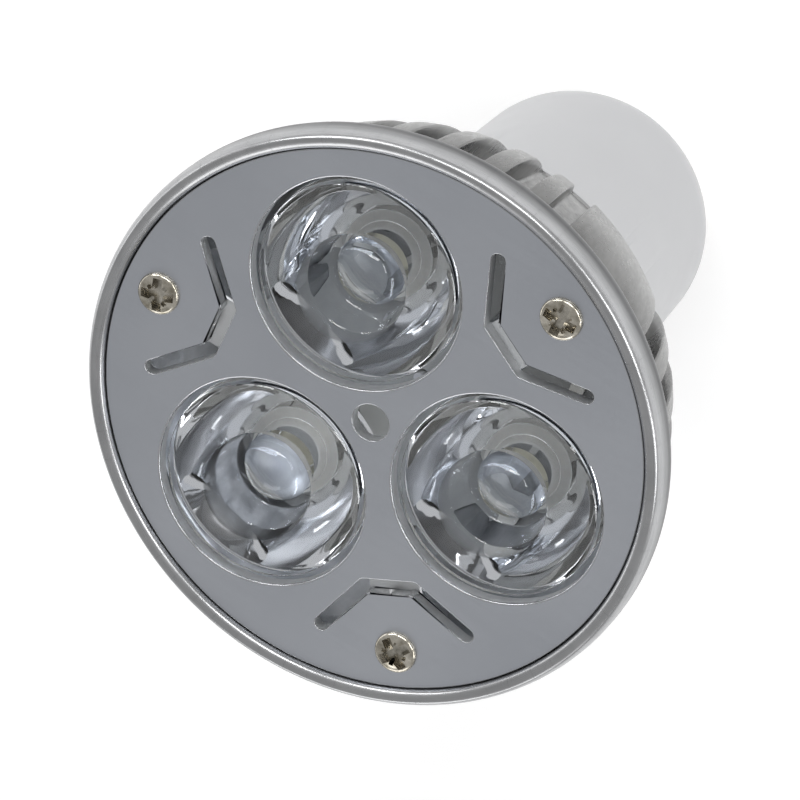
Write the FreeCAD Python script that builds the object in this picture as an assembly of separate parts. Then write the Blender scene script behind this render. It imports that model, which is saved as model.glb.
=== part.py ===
import FreeCAD, Part
import math
import os

# A GU10 spotlight bulb with three emitters, standing on its pins: the axis is Z, the light leaves upward
# and the ends of the two pins lie on Z = 0. All sizes are in millimetres.

os.makedirs("parts", exist_ok=True)

# Heights along the axis
pin_reach = 6.5            # from the pin ends to the end face of the base
base_end_to_collar = 28.2  # from the end face of the base to the heatsink
heatsink_height = 22.8     # from the base's collar to the crest of the front lip

# Contact pins
pin_pitch = 10.0
pin_head_r = 2.5
pin_head_height = 2.3
pin_shoulder = 0.3
pin_neck_r = 1.55
pin_bore_r = 0.4
pin_bore_depth = 0.5
pin_dimple_r = 1.1
pin_dimple_height = 4.3
pin_dimple_depth = 0.45
pin_edge = 0.2
pin_pocket_r = 2.6
pin_pocket_depth = 1.2
pin_rivet_r = 2.3
pin_rivet_height = 0.7
pin_tail_r = 1.0

# White base
base_end_r = 8.7
base_round_r = 11.25
base_round_height = 4.8
base_neck_top_r = 12.05
base_neck_length = 23.3
base_collar_r = 15.4
base_collar_height = 4.5
base_collar_edge = 0.35
base_end_wall = 3.1
base_bore_r = 10.0
base_spigot_r = 12.7
base_spigot_height = 6.3
base_rib_width = 3.4
base_rib_length = 10.0
base_rib_rise = 0.4
base_rib_angles = (45.0, 135.0, 225.0, 315.0)
base_boss_r = 2.4
base_boss_ring_r = 9.6
base_boss_height = 11.0
base_boss_floor = 1.5
end_slot_offset = 2.55
end_slot_length = 1.7
end_slot_width = 0.9
end_slot_depth = 1.2
gate_mark_r = 0.7
gate_mark_depth = 0.15

# Cast heatsink
collar_gap = 0.15          # small chamfer that leaves the dark line above the base
rim_r = 25.0
rim_neck_inset = 2.7       # the insets are measured from the rim inward
rim_neck_height = 0.45
rim_under_inset = 1.8
rim_round_height = 1.8
rim_crest_inset = 0.25
lip_ring_inset = 0.7
lip_ring_drop = 0.45
lip_line_depth = 0.25
fin_top_inset = 1.9
fin_top_drop = 4.2         # from the crest of the lip down to the ends of the fins
cup_bulge = 1.6            # how far the cup's outline bows out of a straight line
panel_count = 3
grooves_per_bay = 9
groove_pitch_deg = 10.9
groove_width = 2.15
groove_draft = 0.12
groove_top_depth = 1.2
groove_foot_height = 0.8
heatsink_wall = 1.6
web_thickness = 2.4
web_hole_r = 2.2

# Front plate
plate_inset = 1.6
plate_recess = 0.6
plate_thickness = 1.2
plate_seat_width = 1.2
plate_centre_hole_r = 1.6
lens_hole_inset = 1.0      # from the lens's flange in to the edge of the hole over it
lens_hole_chamfer = 0.2
slot_width = 1.25
slot_bridge_inset = 8.9
slot_bridge_half = 2.15
slot_end_inset = 5.2
slot_end_half = 6.4

# Screws
plate_screw_inset = 3.2
plate_screw_head_r = 1.8
plate_screw_length = 6.5
screw_shank_r = 1.2
screw_clear_r = 1.45
screw_cross_length = 2.2
screw_cross_width = 0.55
screw_cross_depth = 0.4
boss_inner_inset = 10.0
boss_half_width = 2.3
base_screw_head_r = 2.2
base_screw_head_height = 1.2
base_screw_length = 8.0

# Lenses and emitters
lens_flange_height = 1.2
lens_front_gap = 0.6       # between the lens's front and the edge of the plate's hole
lens_front_drop = 0.2      # the front lies this far below the plate's face
lens_back_r = 3.9
lens_wall_bulge = 0.5
lens_well_r = 4.2
lens_well_foot_r = 3.7
lens_well_depth = 3.0
lens_middle_r = 2.95
lens_middle_crown = 2.2
lens_cavity_r = 3.1
lens_cavity_depth = 3.6
lens_cavity_crown = 0.5
led_body_r = 4.0
led_body_height = 2.0
led_lead_width = 1.2
led_lead_reach = 7.2
led_lead_height = 0.5
led_dome_r = 2.7
led_board_gap = 0.4
led_board_thickness = 1.6

# Mains driver
driver_thickness = 1.2
driver_half_width = 10.3
driver_foot_gap = 3.4      # from the inside of the base's end wall to the board
driver_top_gap = 3.0       # from the board to the heatsink's web
driver_rail_r = 10.45
transformer_size = (10.0, 7.0, 10.0)
transformer_foot = 5.5
input_capacitor_r = 3.15
input_capacitor_height = 11.0
input_capacitor_x = -4.0
input_capacitor_foot = 4.0
output_capacitor_r = 2.5
output_capacitor_height = 8.0
output_capacitor_x = 5.0
output_capacitor_foot = 16.0
rectifier_size = (4.7, 2.4, 6.5)
rectifier_x = 4.5
rectifier_foot = 2.0
chip_size = (4.0, 1.6, 5.0)
chip_x = 4.5
chip_foot = 12.0
board_pin_r = 0.4
board_pin_spread = 1.0
board_pin_above = 0.6

# Clearances
fit = 0.1                  # radial play of a piece that drops into another
foot_step = 0.05           # the heatsink's foot stands out past the base's collar
lens_gap = 0.2             # half of the gap between two lenses
spigot_fit = 0.15
shank_fit = 0.03
rail_fit = 0.05
past = 1.0                 # how far a cutting shape runs on past the piece

# Heights worked out from the sizes above
base_end_z = pin_reach
collar_z = base_end_z + base_end_to_collar
crest_z = collar_z + heatsink_height
plate_face_z = crest_z - plate_recess
plate_seat_z = plate_face_z - plate_thickness
fin_top_z = crest_z - fin_top_drop
web_under_z = collar_z + base_spigot_height
web_top_z = web_under_z + web_thickness
led_board_top_z = web_top_z + led_board_thickness
led_top_z = led_board_top_z + led_body_height
base_inside_z = base_end_z + base_end_wall
driver_foot_z = base_inside_z + driver_foot_gap
driver_top_z = web_under_z - driver_top_gap
driver_height = driver_top_z - driver_foot_z

# Radii worked out from the rim
rim_neck_r = rim_r - rim_neck_inset
rim_under_r = rim_r - rim_under_inset
rim_crest_r = rim_r - rim_crest_inset
lip_ring_r = rim_r - lip_ring_inset
fin_top_r = rim_r - fin_top_inset
heatsink_foot_r = base_collar_r + foot_step
plate_r = rim_r - plate_inset
plate_screw_ring_r = plate_r - plate_screw_inset
slot_bridge_ring_r = plate_r - slot_bridge_inset
slot_end_ring_r = plate_r - slot_end_inset
boss_inner_ring_r = plate_r - boss_inner_inset
cavity_top_r = plate_r + fit - plate_seat_width

# Lenses: as large as three of them fit side by side in the cup
half_step = math.sin(math.pi / 3)
lens_ring_r = (cavity_top_r - fit) / (1 + half_step)
lens_flange_r = lens_ring_r * half_step - lens_gap
lens_hole_r = lens_flange_r - lens_hole_inset
lens_front_r = lens_hole_r - lens_front_gap

AXIS = FreeCAD.Vector(0, 0, 1)
CENTRE = FreeCAD.Vector(0, 0, 0)


def turned(start, *steps):
    """A solid of revolution round Z. A step is the next point (r, z), or (middle, end) for an arc."""
    edges = []
    here = FreeCAD.Vector(start[0], 0, start[1])
    for step in steps + (start,):
        if isinstance(step[0], tuple):
            middle = FreeCAD.Vector(step[0][0], 0, step[0][1])
            there = FreeCAD.Vector(step[1][0], 0, step[1][1])
            edges.append(Part.Arc(here, middle, there).toShape())
        else:
            there = FreeCAD.Vector(step[0], 0, step[1])
            if there.distanceToPoint(here) > 1e-7:
                edges.append(Part.makeLine(here, there))
        here = there
    face = Part.Face(Part.Wire(edges))
    return face.revolve(CENTRE, AXIS, 360)


def bowed(start, end, bulge):
    """The middle point of an arc from start to end that bows out by bulge, to the right of its run."""
    dr, dz = end[0] - start[0], end[1] - start[1]
    length = math.hypot(dr, dz)
    return ((start[0] + end[0]) / 2 + bulge * dz / length, (start[1] + end[1]) / 2 - bulge * dr / length)


def crowned(edge_r, edge_z, height):
    """The middle point and the top of a round crown of that height inside the circle edge_r at edge_z."""
    sphere_r = (edge_r ** 2 + height ** 2) / (2 * abs(height))
    way = 1 if height > 0 else -1
    half_turn = math.asin(min(1.0, edge_r / sphere_r)) / 2
    middle_z = edge_z + height - way * sphere_r * (1 - math.cos(half_turn))
    return (sphere_r * math.sin(half_turn), middle_z), (0, edge_z + height)


def box(x, y, z, size_x, size_y, size_z):
    """A box centred on x and y, with its foot at z."""
    corner = FreeCAD.Vector(x - size_x / 2, y - size_y / 2, z)
    return Part.makeBox(size_x, size_y, size_z, corner)


def rod(r, z, height, x=0.0, y=0.0):
    return Part.makeCylinder(r, height, FreeCAD.Vector(x, y, z), AXIS)


def spun(shape, angle):
    copy = shape.copy()
    copy.rotate(CENTRE, AXIS, angle)
    return copy


def polar(ring_r, angle):
    return ring_r * math.cos(math.radians(angle)), ring_r * math.sin(math.radians(angle))


def save(name, shape):
    solid = shape.removeSplitter()
    if len(solid.Solids) == 1:
        solid = solid.Solids[0]
    solid.exportStep("parts/" + name + ".step")


panel_angles = [360.0 / panel_count * n for n in range(panel_count)]
lens_angles = [angle + 180.0 / panel_count for angle in panel_angles]


# Heatsink: cup outline, front lip with its bead, seat for the plate, cavity, web and rear bore
foot = (heatsink_foot_r, collar_z + collar_gap)
fin_top = (fin_top_r, fin_top_z)
rim_under_z = fin_top_z + rim_neck_height
rim_wide_z = rim_under_z + rim_round_height
lip_ring_z = crest_z - lip_ring_drop
rim_low = (rim_under_r, rim_under_z)
rim_wide = (rim_r, rim_wide_z)
crest_low = (rim_r, crest_z - 2 * rim_crest_inset)
crest_top = (rim_crest_r, crest_z)
cavity_step_z = plate_seat_z - lens_flange_height - fit
groove_foot_z = collar_z + groove_foot_height
groove_foot_r = heatsink_foot_r
groove_top_r = fin_top_r - groove_top_depth
groove_slope = (groove_top_r - groove_foot_r) / (fin_top_z - groove_foot_z)
cone_top_r = groove_foot_r + groove_slope * (cavity_step_z - groove_foot_z) - heatsink_wall
cone_foot_r = groove_foot_r + groove_slope * (web_top_z - groove_foot_z) - heatsink_wall
bore_r = base_spigot_r + spigot_fit

heatsink = turned(
    (bore_r, collar_z),
    (heatsink_foot_r - collar_gap, collar_z),
    foot,
    (bowed(foot, fin_top, cup_bulge), fin_top),
    (rim_neck_r, fin_top_z),
    (rim_neck_r, rim_under_z),
    rim_low,
    (bowed(rim_low, rim_wide, 0.35 * rim_round_height), rim_wide),
    crest_low,
    (bowed(crest_low, crest_top, 0.1), crest_top),
    (rim_crest_r - 0.15, crest_z),
    (lip_ring_r + 0.1, lip_ring_z - lip_line_depth),
    (lip_ring_r, lip_ring_z),
    (plate_r + fit + 0.1, lip_ring_z),
    (plate_r + fit, lip_ring_z - 0.1),
    (plate_r + fit, plate_seat_z),
    (cavity_top_r, plate_seat_z),
    (cavity_top_r, cavity_step_z),
    (cone_top_r, cavity_step_z),
    (cone_foot_r, web_top_z),
    (web_hole_r, web_top_z),
    (web_hole_r, web_under_z),
    (bore_r, web_under_z),
)

# Bosses for the plate screws, cast into the cavity behind each smooth panel
boss_outer_r = cavity_top_r + 0.5
boss_reach_z = plate_seat_z - web_top_z
cup_inside = turned(
    (0, web_top_z),
    (cone_foot_r + 0.5 * heatsink_wall, web_top_z),
    (cone_top_r + 0.5 * heatsink_wall, cavity_step_z),
    (boss_outer_r, cavity_step_z),
    (boss_outer_r, plate_seat_z),
    (0, plate_seat_z),
)
for angle in panel_angles:
    boss = Part.makeBox(
        boss_outer_r - boss_inner_ring_r,
        2 * boss_half_width,
        boss_reach_z,
        FreeCAD.Vector(boss_inner_ring_r, -boss_half_width, web_top_z),
    ).common(cup_inside)
    heatsink = heatsink.fuse(spun(boss, angle))
screw_hole_depth = plate_screw_length - plate_thickness + 0.5
for angle in panel_angles:
    x, y = polar(plate_screw_ring_r, angle)
    screw_hole = rod(screw_shank_r + shank_fit, plate_seat_z - screw_hole_depth, screw_hole_depth, x, y)
    heatsink = heatsink.cut(screw_hole)

# Grooves between the fins: of one width, deep at mid height and running out above the collar
reach_r = rim_r + 2 * past
groove_top_z = fin_top_z + 0.5 * rim_neck_height
floor_top_r = groove_foot_r + groove_slope * (groove_top_z - groove_foot_z)
floor_low_z = collar_z + 0.5 * groove_foot_height
floor_low_r = groove_foot_r + groove_slope * (floor_low_z - groove_foot_z)


def groove_wall(r, z, side):
    half = groove_width / 2 + groove_draft * (r - groove_foot_r) / (reach_r - groove_foot_r)
    return FreeCAD.Vector(r, side * half, z)


def groove_section(side):
    corners = [
        groove_wall(floor_low_r, floor_low_z, side),
        groove_wall(reach_r, floor_low_z, side),
        groove_wall(reach_r, groove_top_z, side),
        groove_wall(floor_top_r, groove_top_z, side),
    ]
    return Part.makePolygon(corners + corners[:1])


groove = Part.makeLoft([groove_section(-1), groove_section(1)], True, True)
bay_half = groove_pitch_deg * (grooves_per_bay - 1) / 2
grooves = []
for angle in lens_angles:
    for n in range(grooves_per_bay):
        grooves.append(spun(groove, angle - bay_half + n * groove_pitch_deg))
heatsink = heatsink.cut(grooves)

# Screw holes and head seats in the web, for the screws that hold the base
base_screw_angles = (90.0, 270.0)
base_screw_seat_z = web_top_z - base_screw_head_height - fit
for angle in base_screw_angles:
    x, y = polar(base_boss_ring_r, angle)
    heatsink = heatsink.cut(rod(screw_clear_r, web_under_z - past, web_thickness + 2 * past, x, y))
    head_seat = rod(base_screw_head_r + fit, base_screw_seat_z, web_top_z + past - base_screw_seat_z, x, y)
    heatsink = heatsink.cut(head_seat)
save("heatsink", heatsink)


# Front plate: disc, lens holes with a fine chamfer, centre hole, screw holes and three bent slots
plate = rod(plate_r, plate_seat_z, plate_thickness)
for angle in lens_angles:
    x, y = polar(lens_ring_r, angle)
    plate = plate.cut(rod(lens_hole_r, plate_seat_z - past, plate_thickness + 2 * past, x, y))
    rim = Part.makeCone(
        lens_hole_r,
        lens_hole_r + 2 * lens_hole_chamfer,
        2 * lens_hole_chamfer,
        FreeCAD.Vector(x, y, plate_face_z - lens_hole_chamfer),
        AXIS,
    )
    plate = plate.cut(rim)
plate = plate.cut(rod(plate_centre_hole_r, plate_seat_z - past, plate_thickness + 2 * past))


def beside(points, offset):
    """The points of a path moved sideways by offset, mitred at its corners."""
    moved = []
    for n, point in enumerate(points):
        before = points[max(n - 1, 0)]
        after = points[min(n + 1, len(points) - 1)]
        into = (point - before) if n else (after - point)
        out = (after - point) if n < len(points) - 1 else into
        side_in = FreeCAD.Vector(-into.y, into.x, 0).normalize()
        side_out = FreeCAD.Vector(-out.y, out.x, 0).normalize()
        mitre = (side_in + side_out).normalize()
        moved.append(point + mitre * (offset / mitre.dot(side_in)))
    return moved


def bent_slot():
    ends = [(slot_end_ring_r, slot_end_half), (slot_bridge_ring_r, slot_bridge_half)]
    ends += [(r, -half) for r, half in reversed(ends)]
    path = [FreeCAD.Vector(r, y, plate_seat_z - past) for r, y in ends]
    half = slot_width / 2
    left = beside(path, half)
    right = beside(path, -half)
    tip_first = path[0] + (path[0] - path[1]).normalize() * half
    tip_last = path[-1] + (path[-1] - path[-2]).normalize() * half
    edges = [Part.makeLine(a, b) for a, b in zip(left, left[1:])]
    edges.append(Part.Arc(left[-1], tip_last, right[-1]).toShape())
    back = right[::-1]
    edges += [Part.makeLine(a, b) for a, b in zip(back, back[1:])]
    edges.append(Part.Arc(right[0], tip_first, left[0]).toShape())
    return Part.Face(Part.Wire(edges)).extrude(FreeCAD.Vector(0, 0, plate_thickness + 2 * past))


for angle in panel_angles:
    x, y = polar(plate_screw_ring_r, angle)
    plate = plate.cut(rod(screw_clear_r, plate_seat_z - past, plate_thickness + 2 * past, x, y))
    plate = plate.cut(spun(bent_slot(), angle))
save("front_plate", plate)


# Plate screws: low round head with a cross recess, plain shank in the boss
head_height = crest_z - plate_face_z
head_side = (plate_screw_head_r, plate_face_z + 0.4 * head_height)
head_top = (0.5 * plate_screw_head_r, crest_z)
for n, angle in enumerate(panel_angles):
    screw = turned(
        (0, plate_face_z - plate_screw_length),
        (screw_shank_r, plate_face_z - plate_screw_length),
        (screw_shank_r, plate_face_z),
        (plate_screw_head_r, plate_face_z),
        head_side,
        (bowed(head_side, head_top, 0.08), head_top),
        (0, crest_z),
    )
    recess_z = crest_z - screw_cross_depth
    cross = box(0, 0, recess_z, screw_cross_length, screw_cross_width, screw_cross_depth + past)
    cross = cross.fuse(box(0, 0, recess_z, screw_cross_width, screw_cross_length, screw_cross_depth + past))
    screw = screw.cut(spun(cross, 20 + 35 * n))
    x, y = polar(plate_screw_ring_r, angle)
    screw.translate(FreeCAD.Vector(x, y, 0))
    save("plate_screw_" + str(n + 1), screw)


# Lenses: front in the plate's hole, flange under the plate, bowed collimator wall, well with the domed middle
# lens at its foot, and back cavity with a crowned roof
lens_top_z = plate_seat_z
lens_front_z = plate_face_z - lens_front_drop
flange_under_z = lens_top_z - lens_flange_height
well_foot_z = lens_front_z - lens_well_depth
cavity_roof_z = led_top_z + lens_cavity_depth
wall_top = (lens_front_r, flange_under_z)
wall_foot = (lens_back_r, led_top_z)
cavity_middle, cavity_tip = crowned(lens_cavity_r, cavity_roof_z, -lens_cavity_crown)
lens = turned(
    cavity_tip,
    (cavity_middle, (lens_cavity_r, cavity_roof_z)),
    (lens_cavity_r, led_top_z),
    wall_foot,
    (bowed(wall_foot, wall_top, lens_wall_bulge), wall_top),
    (lens_flange_r, flange_under_z),
    (lens_flange_r, lens_top_z),
    (lens_front_r, lens_top_z),
    (lens_front_r, lens_front_z),
    (lens_well_r, lens_front_z),
    (lens_well_foot_r, well_foot_z),
    (lens_middle_r, well_foot_z),
    crowned(lens_middle_r, well_foot_z, lens_middle_crown),
)
for n, angle in enumerate(lens_angles):
    x, y = polar(lens_ring_r, angle)
    placed = lens.copy()
    placed.translate(FreeCAD.Vector(x, y, 0))
    save("lens_" + str(n + 1), placed)


# Emitters: round body with two flat leads, and the clear dome on top
body = rod(led_body_r, led_board_top_z, led_body_height)
body = body.fuse(box(0, 0, led_board_top_z, 2 * led_lead_reach, led_lead_width, led_lead_height))
dome = turned((0, led_top_z), (led_dome_r, led_top_z), crowned(led_dome_r, led_top_z, led_dome_r))
for n, angle in enumerate(lens_angles):
    x, y = polar(lens_ring_r, angle)
    placed = spun(body, angle + 90)
    placed.translate(FreeCAD.Vector(x, y, 0))
    save("led_" + str(n + 1), placed)
    placed = dome.copy()
    placed.translate(FreeCAD.Vector(x, y, 0))
    save("led_dome_" + str(n + 1), placed)


# LED board: disc on the web, notched round the bosses, with holes for the two board pins
led_board = rod(cone_foot_r - led_board_gap, web_top_z, led_board_thickness)
for angle in panel_angles:
    notch = Part.makeBox(
        cone_foot_r,
        2 * (boss_half_width + fit),
        led_board_thickness + 2 * past,
        FreeCAD.Vector(boss_inner_ring_r - fit, -boss_half_width - fit, web_top_z - past),
    )
    led_board = led_board.cut(spun(notch, angle))
for side in (-1, 1):
    hole = rod(board_pin_r + fit, web_top_z - past, led_board_thickness + 2 * past, side * board_pin_spread)
    led_board = led_board.cut(hole)
save("led_board", led_board)


# White base: end face, rounded shoulder, tapered neck, flared collar, spigot and screw bosses
round_top = (base_round_r, base_end_z + base_round_height)
neck_top = (base_neck_top_r, base_end_z + base_round_height + base_neck_length - base_collar_height)
collar_edge = (base_collar_r, collar_z - base_collar_edge)
end_corner = (base_end_r, base_end_z)
base = turned(
    (0, base_end_z),
    end_corner,
    (bowed(end_corner, round_top, 0.55), round_top),
    neck_top,
    collar_edge,
    (base_collar_r, collar_z),
    (base_spigot_r, collar_z),
    (base_spigot_r, web_under_z),
    (base_bore_r, web_under_z),
    (base_bore_r, base_inside_z),
    (0, base_inside_z),
)
rib_top_z = neck_top[1] + 0.5
rib_foot_z = rib_top_z - base_rib_length
neck_slope = (base_neck_top_r - base_round_r) / (neck_top[1] - round_top[1])
rib_foot_r = base_round_r + neck_slope * (rib_foot_z - round_top[1])
rib_root_r = base_round_r - 0.8
rib = Part.Face(
    Part.makePolygon(
        [
            FreeCAD.Vector(rib_root_r, -base_rib_width / 2, rib_foot_z),
            FreeCAD.Vector(rib_foot_r - 0.05, -base_rib_width / 2, rib_foot_z),
            FreeCAD.Vector(base_neck_top_r + base_rib_rise, -base_rib_width / 2, rib_top_z),
            FreeCAD.Vector(rib_root_r, -base_rib_width / 2, rib_top_z),
            FreeCAD.Vector(rib_root_r, -base_rib_width / 2, rib_foot_z),
        ]
    )
).extrude(FreeCAD.Vector(0, base_rib_width, 0))
for angle in base_rib_angles:
    base = base.fuse(spun(rib, angle))
for angle in base_screw_angles:
    x, y = polar(base_boss_ring_r, angle)
    boss = rod(base_boss_r, web_under_z - base_boss_height, base_boss_height, x, y)
    base = base.fuse(boss)
for angle in base_screw_angles:
    x, y = polar(base_boss_ring_r, angle)
    hole_foot_z = web_under_z - base_boss_height + base_boss_floor
    base = base.cut(rod(screw_shank_r + shank_fit, hole_foot_z, base_boss_height, x, y))

# Round pockets and holes for the pins, two small slots and the gate mark in the end face
pin_places = (-pin_pitch / 2, pin_pitch / 2)
for x in pin_places:
    base = base.cut(rod(pin_pocket_r, base_end_z - past, pin_pocket_depth + past, x))
    base = base.cut(rod(pin_neck_r + shank_fit, base_end_z - past, base_end_wall + 2 * past, x))
for side in (-1, 1):
    y = side * end_slot_offset
    half = (end_slot_length - end_slot_width) / 2
    slot = box(0, y, base_end_z - past, 2 * half, end_slot_width, past + end_slot_depth)
    for end in (-half, half):
        slot = slot.fuse(rod(end_slot_width / 2, base_end_z - past, past + end_slot_depth, end, y))
    base = base.cut(slot)
base = base.cut(rod(gate_mark_r, base_end_z - past, past + gate_mark_depth))

# Rails that take the edges of the driver board
rail_depth_z = web_under_z + past - driver_foot_z
rails = box(0, 0, driver_foot_z, 2 * driver_rail_r, driver_thickness + 2 * rail_fit, rail_depth_z)
base = base.cut(rails)
save("base_housing", base)


# Contact pins: flat head with a small centre mark, dimpled neck, rivet collar inside the base and solder tail
neck_z = pin_head_height + pin_shoulder
pin = turned(
    (0, pin_bore_depth),
    (pin_bore_r, pin_bore_depth),
    (pin_bore_r, 0),
    (pin_head_r - pin_edge, 0),
    (pin_head_r, pin_edge),
    (pin_head_r, pin_head_height),
    (pin_neck_r + 0.1, neck_z),
    (pin_neck_r, neck_z + 0.1),
    (pin_neck_r, base_inside_z),
    (pin_rivet_r, base_inside_z),
    (pin_rivet_r, base_inside_z + pin_rivet_height),
    (pin_tail_r, base_inside_z + pin_rivet_height),
    (pin_tail_r, driver_foot_z),
    (0, driver_foot_z),
)
for side in (-1, 1):
    centre_y = side * (pin_neck_r + pin_dimple_r - pin_dimple_depth)
    dimple = Part.makeSphere(pin_dimple_r, FreeCAD.Vector(0, centre_y, pin_dimple_height))
    pin = pin.cut(dimple)
for n, x in enumerate(pin_places):
    placed = pin.copy()
    placed.translate(FreeCAD.Vector(x, 0, 0))
    save("pin_" + str(n + 1), placed)


# Screws that hold the base, their heads sunk in the web under the LED board
for n, angle in enumerate(base_screw_angles):
    screw = turned(
        (0, base_screw_seat_z - base_screw_length),
        (screw_shank_r, base_screw_seat_z - base_screw_length),
        (screw_shank_r, base_screw_seat_z),
        (base_screw_head_r, base_screw_seat_z),
        (base_screw_head_r, base_screw_seat_z + base_screw_head_height),
        (0, base_screw_seat_z + base_screw_head_height),
    )
    x, y = polar(base_boss_ring_r, angle)
    screw.translate(FreeCAD.Vector(x, y, 0))
    save("base_screw_" + str(n + 1), screw)


# Driver: upright board in the base's rails, parts on both of its faces, pins up to the LED board
save("driver_board", box(0, 0, driver_foot_z, 2 * driver_half_width, driver_thickness, driver_height))
front_y = driver_thickness / 2
core_x, core_y, core_z = transformer_size
core_foot = driver_foot_z + transformer_foot
core_middle_y = front_y + core_y / 2
core = box(0, core_middle_y, core_foot, core_x, core_y, core_z)
for side in (-1, 1):
    window_foot = core_foot + core_z * 0.2
    window_x = side * 0.31 * core_x
    window = box(window_x, core_middle_y, window_foot, 0.14 * core_x, core_y + 2 * past, 0.6 * core_z)
    core = core.cut(window)
save("transformer", core)
save(
    "input_capacitor",
    rod(
        input_capacitor_r,
        driver_foot_z + input_capacitor_foot,
        input_capacitor_height,
        input_capacitor_x,
        -front_y - input_capacitor_r,
    ),
)
save(
    "output_capacitor",
    rod(
        output_capacitor_r,
        driver_foot_z + output_capacitor_foot,
        output_capacitor_height,
        output_capacitor_x,
        front_y + output_capacitor_r,
    ),
)
rect_x, rect_y, rect_z = rectifier_size
rectifier = box(rectifier_x, -front_y - rect_y / 2, driver_foot_z + rectifier_foot, rect_x, rect_y, rect_z)
save("bridge_rectifier", rectifier)
die_x, die_y, die_z = chip_size
save("driver_chip", box(chip_x, -front_y - die_y / 2, driver_foot_z + chip_foot, die_x, die_y, die_z))
for n, side in enumerate((-1, 1)):
    reach = led_board_top_z + board_pin_above - driver_top_z
    save("board_pin_" + str(n + 1), rod(board_pin_r, driver_top_z, reach, side * board_pin_spread))
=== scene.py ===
import bpy
import bmesh
import math
from mathutils import Matrix, Vector

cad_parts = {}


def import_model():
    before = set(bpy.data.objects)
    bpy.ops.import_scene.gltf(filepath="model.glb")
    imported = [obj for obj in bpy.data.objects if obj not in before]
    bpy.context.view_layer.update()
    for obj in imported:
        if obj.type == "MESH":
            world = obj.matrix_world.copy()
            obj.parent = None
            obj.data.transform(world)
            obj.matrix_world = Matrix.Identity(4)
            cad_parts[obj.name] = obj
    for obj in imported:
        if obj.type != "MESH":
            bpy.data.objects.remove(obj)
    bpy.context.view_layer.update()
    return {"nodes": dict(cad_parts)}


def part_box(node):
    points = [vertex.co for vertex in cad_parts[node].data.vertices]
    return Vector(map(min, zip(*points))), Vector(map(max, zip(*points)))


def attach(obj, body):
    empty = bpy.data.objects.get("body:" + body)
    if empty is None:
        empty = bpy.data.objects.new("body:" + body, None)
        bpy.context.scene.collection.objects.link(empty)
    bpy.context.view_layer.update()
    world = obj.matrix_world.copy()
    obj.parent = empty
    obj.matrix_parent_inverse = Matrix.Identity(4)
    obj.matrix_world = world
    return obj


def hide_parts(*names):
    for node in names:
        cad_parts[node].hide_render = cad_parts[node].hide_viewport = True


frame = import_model()
nodes = frame["nodes"]
MM = 0.001
TURN = 2 * math.pi


# Sizes in millimetres, read from the solids wherever a solid's box shows them

def least(node, axis=2):
    """The lowest place of a solid along x, y or z."""
    return round(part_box(node)[0][axis] / MM, 3)


def most(node, axis=2):
    """The highest place of a solid along x, y or z."""
    return round(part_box(node)[1][axis] / MM, 3)


BASE_END = least("base_housing")
COLLAR = least("heatsink")
WEB_UNDER = most("base_housing")
WEB_TOP = least("led_board")
BOARD_TOP = most("led_board")
LED_TOP = most("led_1")
PLATE_SEAT = least("front_plate")
PLATE_FACE = most("front_plate")
LENS_FRONT = most("lens_1")
CREST = most("heatsink")
FIN_TOP = CREST - 4.2

RIM_R = 25.0
PLATE_R = most("front_plate", 0)
FLANGE_R = most("lens_2", 1)
LENS_HOLE_R = FLANGE_R - 1.0
LENS_FRONT_R = LENS_HOLE_R - 0.6
BASE_R = most("base_housing", 0)
HEAD_R = 1.8
SCREW_RING = most("plate_screw_1", 0) - HEAD_R
LENS_RING = -(least("lens_2", 0) + most("lens_2", 0)) / 2
PIN_X = (least("pin_2", 0) + most("pin_2", 0)) / 2

# Angles in degrees
PANELS = (0, 120, 240)
LENSES = (60, 180, 300)


# Mesh helpers

def at(ring_r, degrees):
    a = math.radians(degrees)
    return ring_r * math.cos(a), ring_r * math.sin(a)


def swung(x, y, z, a, about=(0.0, 0.0)):
    """A point turned by the angle a and then set off from an upright axis."""
    return Vector((
        about[0] + x * math.cos(a) - y * math.sin(a),
        about[1] + x * math.sin(a) + y * math.cos(a),
        z,
    ))


def soften(points, radius=0.12, steps=3):
    """A run of (r, z) or (r, z, radius) points with its corners rounded."""
    out = []
    for n, p in enumerate(points):
        here = Vector(p[:2])
        size = p[2] if len(p) > 2 else radius
        if n in (0, len(points) - 1) or size == 0:
            out.append((here.x, here.y))
            continue
        before, after = Vector(points[n - 1][:2]), Vector(points[n + 1][:2])
        back, on = before - here, after - here
        if back.length < 1e-6 or on.length < 1e-6 or back.angle(-on) < 0.2:
            out.append((here.x, here.y))
            continue
        size = min(size, 0.42 * back.length, 0.42 * on.length)
        a, b = here + back.normalized() * size, here + on.normalized() * size
        for k in range(steps + 1):
            t = k / steps
            q = a * (1 - t) ** 2 + here * (2 * t * (1 - t)) + b * t ** 2
            out.append((q.x, q.y))
    return out


def arc(start, end, bulge, steps=12):
    """Points of a bowed run from start to end, that leans out to the right of its way by bulge."""
    s, e = Vector(start), Vector(end)
    way = e - s
    side = Vector((way.y, -way.x)).normalized()
    out = []
    for k in range(steps + 1):
        t = k / steps
        q = s + way * t + side * (4 * bulge * t * (1 - t))
        out.append((q.x, q.y, 0))
    return out


def crown(edge_r, edge_z, height, steps=12):
    """Points of a round crown from its edge to its top on the axis."""
    sphere = (edge_r ** 2 + height ** 2) / (2 * abs(height))
    middle = edge_z + height - math.copysign(sphere, height)
    reach = math.asin(min(1.0, edge_r / sphere))
    out = []
    for k in range(steps, -1, -1):
        t = reach * k / steps
        out.append((sphere * math.sin(t), middle + math.copysign(sphere, height) * math.cos(t), 0))
    return out


def circle(r, z, count=192, x=0.0, y=0.0):
    if r < 1e-6:
        return [Vector((x, y, z))]
    turns = [TURN * k / count for k in range(count)]
    return [Vector((x + r * math.cos(a), y + r * math.sin(a), z)) for a in turns]


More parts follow.
